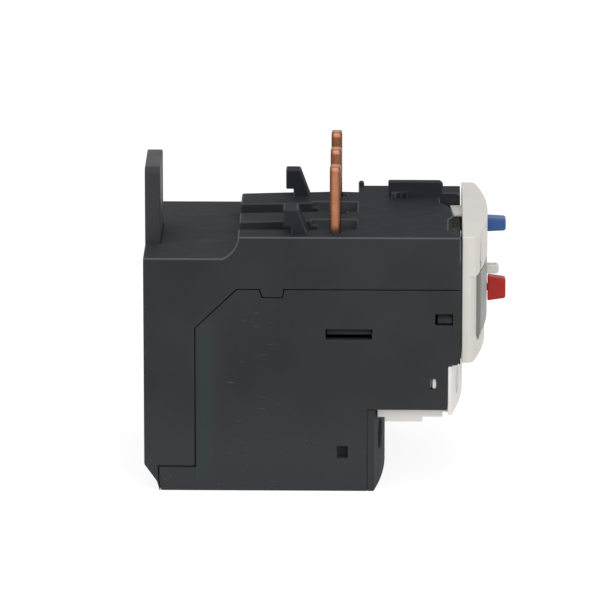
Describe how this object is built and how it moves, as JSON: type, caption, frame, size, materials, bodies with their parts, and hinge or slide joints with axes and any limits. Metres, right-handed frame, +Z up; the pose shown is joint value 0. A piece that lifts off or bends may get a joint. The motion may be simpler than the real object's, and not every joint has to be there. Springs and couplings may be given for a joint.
{
  "type": "thermal overload relay",
  "caption": "Plug-in thermal overload relay with copper pins on top, clear flap over a setting dial, reset and stop buttons, and screw terminals below.",
  "frame": {"origin": "on the base plane, mid-width, in the plane through the three pins, at the middle load wire's entry", "axes": "+Z up through the pins, -Y towards the front with the buttons, +X to the right seen from the front"},
  "size_m": [0.045, 0.073, 0.0664],
  "materials": {
    "housing_dark": "fine moulded texture, satin",
    "tab_dark": "fine moulded texture, satin",
    "cover_light": "fine moulded texture, matt",
    "block_light": "fine moulded texture, matt",
    "clear_flap": "clear, glossy",
    "dial_white": "satin with a moulded slot",
    "reset_blue": "satin moulded",
    "stop_red": "satin moulded",
    "test_cap": "satin moulded",
    "copper": "bright copper, lightly brushed",
    "screw_steel": "zinc plated",
    "clamp_steel": "zinc plated",
    "spring_steel": "drawn wire",
    "bimetal": "rolled strip",
    "heater": "resistance ribbon on a woven sleeve",
    "silver_contact": "copper alloy with silver tips",
    "works_plastic": "plain moulded",
    "flag_orange": "plain moulded",
    "pivot_steel": "turned pin"
  },
  "bodies": {
    "relay_body": {"main_housing": "housing_dark", "rear_tab": "tab_dark", "side_cover": "housing_dark", "power_terminal_block": "housing_dark", "aux_terminal_block": "block_light", "front_cover": "cover_light", "reset_spring": "spring_steel", "stop_spring": "spring_steel", "test_spring": "spring_steel", "carrier_spring": "spring_steel", "strip_pivot": "pivot_steel", "latch_pin": "pivot_steel", "phase_pin_left": "copper", "bimetal_strip_left": "bimetal", "heater_winding_left": "heater", "load_strap_left": "copper", "phase_pin_middle": "copper", "bimetal_strip_middle": "bimetal", "heater_winding_middle": "heater", "load_strap_middle": "copper", "phase_pin_right": "copper", "bimetal_strip_right": "bimetal", "heater_winding_right": "heater", "load_strap_right": "copper", "contact_strap_nc_outer": "silver_contact", "contact_strap_nc_inner": "silver_contact", "contact_strap_no_inner": "silver_contact", "contact_strap_no_outer": "silver_contact"},
    "flap": {"dial_flap": "clear_flap"},
    "dial": {"current_dial": "dial_white"},
    "reset_slide": {"reset_plunger": "works_plastic"},
    "reset_turn_knob": {"reset_knob": "reset_blue"},
    "stop": {"stop_button": "stop_red"},
    "test": {"test_button": "test_cap"},
    "shift_slide": {"shift_bar": "works_plastic"},
    "return_slide": {"return_bar": "works_plastic"},
    "lever": {"differential_lever": "works_plastic"},
    "compensator": {"compensating_strip": "bimetal"},
    "latch": {"trip_latch": "works_plastic"},
    "carrier": {"contact_carrier": "works_plastic", "nc_bridge": "silver_contact", "no_bridge": "silver_contact", "trip_flag": "flag_orange"},
    "power_clamp_left": {"power_clamp_left": "clamp_steel"},
    "power_screw_left": {"power_screw_left": "screw_steel"},
    "power_clamp_middle": {"power_clamp_middle": "clamp_steel"},
    "power_screw_middle": {"power_screw_middle": "screw_steel"},
    "power_clamp_right": {"power_clamp_right": "clamp_steel"},
    "power_screw_right": {"power_screw_right": "screw_steel"},
    "aux_clamp_nc_outer": {"aux_clamp_nc_outer": "clamp_steel"},
    "aux_screw_nc_outer": {"aux_screw_nc_outer": "screw_steel"},
    "aux_clamp_nc_inner": {"aux_clamp_nc_inner": "clamp_steel"},
    "aux_screw_nc_inner": {"aux_screw_nc_inner": "screw_steel"},
    "aux_clamp_no_inner": {"aux_clamp_no_inner": "clamp_steel"},
    "aux_screw_no_inner": {"aux_screw_no_inner": "screw_steel"},
    "aux_clamp_no_outer": {"aux_clamp_no_outer": "clamp_steel"},
    "aux_screw_no_outer": {"aux_screw_no_outer": "screw_steel"}
  },
  "joints": [
    {"name": "flap_swing", "type": "hinge", "parent": "relay_body", "child": "flap", "pos_m": [-0.0171, -0.02895, 0.0315], "axis": [0, 0, -1], "range_deg": [0, 105]},
    {"name": "dial_turn", "type": "hinge", "parent": "relay_body", "child": "dial", "pos_m": [-0.0105, -0.0285, 0.0387], "axis": [0, 1, 0], "range_deg": [-135, 135]},
    {"name": "reset_press", "type": "slide", "parent": "relay_body", "child": "reset_slide", "axis": [0, 1, 0], "range_m": [0, 0.0015], "stiffness_N_per_m": 1500, "springref_m": -0.001, "deforming": ["reset_spring"]},
    {"name": "reset_turn", "type": "hinge", "parent": "reset_slide", "child": "reset_turn_knob", "pos_m": [0.01, -0.0305, 0.04745], "axis": [0, 1, 0], "range_deg": [0, 90]},
    {"name": "stop_press", "type": "slide", "parent": "relay_body", "child": "stop", "axis": [0, 1, 0], "range_m": [0, 0.0015], "stiffness_N_per_m": 1500, "springref_m": -0.001, "deforming": ["stop_spring"]},
    {"name": "test_press", "type": "slide", "parent": "relay_body", "child": "test", "axis": [0, 1, 0], "range_m": [0, 0.0012], "stiffness_N_per_m": 1200, "springref_m": -0.0008, "deforming": ["test_spring"]},
    {"name": "shift_bar_slide", "type": "slide", "parent": "relay_body", "child": "shift_slide", "axis": [1, 0, 0], "range_m": [0, 0.002], "stiffness_N_per_m": 300, "springref_m": -0.001},
    {"name": "return_bar_slide", "type": "slide", "parent": "relay_body", "child": "return_slide", "axis": [1, 0, 0], "range_m": [0, 0.002]},
    {"name": "lever_tilt", "type": "hinge", "parent": "shift_slide", "child": "lever", "pos_m": [0.0136, 0.0235, 0.0362], "axis": [0, 1, 0], "range_deg": [0, 2.5]},
    {"name": "strip_swing", "type": "hinge", "parent": "relay_body", "child": "compensator", "pos_m": [0.0175, 0.006, 0.0376], "axis": [0, 0, -1], "range_deg": [0, 6.55]},
    {"name": "latch_turn", "type": "hinge", "parent": "relay_body", "child": "latch", "pos_m": [0.0127, -0.0075, 0.045], "axis": [0, 1, 0], "range_deg": [0, 13.53]},
    {"name": "carrier_slide", "type": "slide", "parent": "relay_body", "child": "carrier", "axis": [0, 0, -1], "range_m": [0, 0.0013], "stiffness_N_per_m": 200, "springref_m": -0.002, "deforming": ["carrier_spring"]},
    {"name": "power_clamp_left_slide", "type": "slide", "parent": "relay_body", "child": "power_clamp_left", "axis": [0, 1, 0], "range_m": [0, 0.0036]},
    {"name": "power_screw_left_turn", "type": "hinge", "parent": "power_clamp_left", "child": "power_screw_left", "pos_m": [-0.0145, -0.0034, 0.0099], "axis": [0, 1, 0], "range_deg": [0, 1852.35]},
    {"name": "power_clamp_middle_slide", "type": "slide", "parent": "relay_body", "child": "power_clamp_middle", "axis": [0, 1, 0], "range_m": [0, 0.0036]},
    {"name": "power_screw_middle_turn", "type": "hinge", "parent": "power_clamp_middle", "child": "power_screw_middle", "pos_m": [0, -0.0034, 0.0099], "axis": [0, 1, 0], "range_deg": [0, 1852.35]},
    {"name": "power_clamp_right_slide", "type": "slide", "parent": "relay_body", "child": "power_clamp_right", "axis": [0, 1, 0], "range_m": [0, 0.0036]},
    {"name": "power_screw_right_turn", "type": "hinge", "parent": "power_clamp_right", "child": "power_screw_right", "pos_m": [0.0145, -0.0034, 0.0099], "axis": [0, 1, 0], "range_deg": [0, 1852.35]},
    {"name": "aux_clamp_nc_outer_slide", "type": "slide", "parent": "relay_body", "child": "aux_clamp_nc_outer", "axis": [0, 1, 0], "range_m": [0, 0.0032]},
    {"name": "aux_screw_nc_outer_turn", "type": "hinge", "parent": "aux_clamp_nc_outer", "child": "aux_screw_nc_outer", "pos_m": [-0.0153, -0.0189, 0.0214], "axis": [0, 1, 0], "range_deg": [0, 1920.96]},
    {"name": "aux_clamp_nc_inner_slide", "type": "slide", "parent": "relay_body", "child": "aux_clamp_nc_inner", "axis": [0, 1, 0], "range_m": [0, 0.0032]},
    {"name": "aux_screw_nc_inner_turn", "type": "hinge", "parent": "aux_clamp_nc_inner", "child": "aux_screw_nc_inner", "pos_m": [-0.0051, -0.0189, 0.0214], "axis": [0, 1, 0], "range_deg": [0, 1920.96]},
    {"name": "aux_clamp_no_inner_slide", "type": "slide", "parent": "relay_body", "child": "aux_clamp_no_inner", "axis": [0, 1, 0], "range_m": [0, 0.0032]},
    {"name": "aux_screw_no_inner_turn", "type": "hinge", "parent": "aux_clamp_no_inner", "child": "aux_screw_no_inner", "pos_m": [0.0051, -0.0189, 0.0214], "axis": [0, 1, 0], "range_deg": [0, 1920.96]},
    {"name": "aux_clamp_no_outer_slide", "type": "slide", "parent": "relay_body", "child": "aux_clamp_no_outer", "axis": [0, 1, 0], "range_m": [0, 0.0032]},
    {"name": "aux_screw_no_outer_turn", "type": "hinge", "parent": "aux_clamp_no_outer", "child": "aux_screw_no_outer", "pos_m": [0.0153, -0.0189, 0.0214], "axis": [0, 1, 0], "range_deg": [0, 1920.96]}
  ],
  "couplings": [
    {"joint": "return_bar_slide", "follows": "shift_bar_slide", "ratio": 1},
    {"joint": "strip_swing", "follows": "shift_bar_slide", "rad_per_m": 57.143},
    {"joint": "latch_turn", "follows": "shift_bar_slide", "rad_per_m": 117.97},
    {"joint": "carrier_slide", "follows": "shift_bar_slide", "ratio": 0.65},
    {"joint": "power_screw_left_turn", "follows": "power_clamp_left_slide", "rad_per_m": 8976},
    {"joint": "power_screw_middle_turn", "follows": "power_clamp_middle_slide", "rad_per_m": 8976},
    {"joint": "power_screw_right_turn", "follows": "power_clamp_right_slide", "rad_per_m": 8976},
    {"joint": "aux_screw_nc_outer_turn", "follows": "aux_clamp_nc_outer_slide", "rad_per_m": 10472},
    {"joint": "aux_screw_nc_inner_turn", "follows": "aux_clamp_nc_inner_slide", "rad_per_m": 10472},
    {"joint": "aux_screw_no_inner_turn", "follows": "aux_clamp_no_inner_slide", "rad_per_m": 10472},
    {"joint": "aux_screw_no_outer_turn", "follows": "aux_clamp_no_outer_slide", "rad_per_m": 10472}
  ]
}
